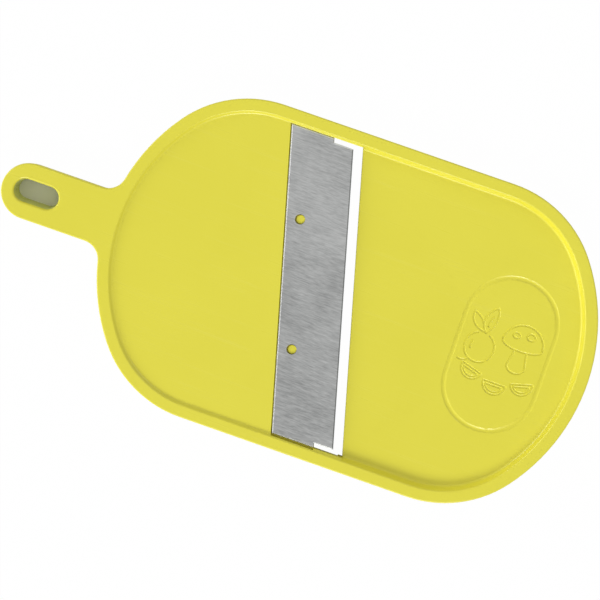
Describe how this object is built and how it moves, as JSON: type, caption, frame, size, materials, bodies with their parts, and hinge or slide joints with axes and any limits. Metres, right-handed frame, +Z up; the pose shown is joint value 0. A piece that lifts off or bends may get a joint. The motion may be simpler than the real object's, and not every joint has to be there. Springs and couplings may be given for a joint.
{
  "type": "mandoline slicer",
  "caption": "Flat hand mandoline slicer: oval moulded board with a raised rim, short handle with a hang hole, and a fixed oblique steel blade over a slot.",
  "frame": {"origin": "middle of the bounding box at the surface the board rests on", "axes": "+X along the board from the handle to the far end, +Y across it, +Z up out of the food side"},
  "size_m": [0.2646, 0.142, 0.01],
  "materials": {
    "board_plastic": "satin yellow injection-moulded plastic",
    "blade_steel": "brushed stainless steel, grain across the board"
  },
  "bodies": {
    "root": {"board": "board_plastic", "blade": "blade_steel"}
  },
  "joints": []
}
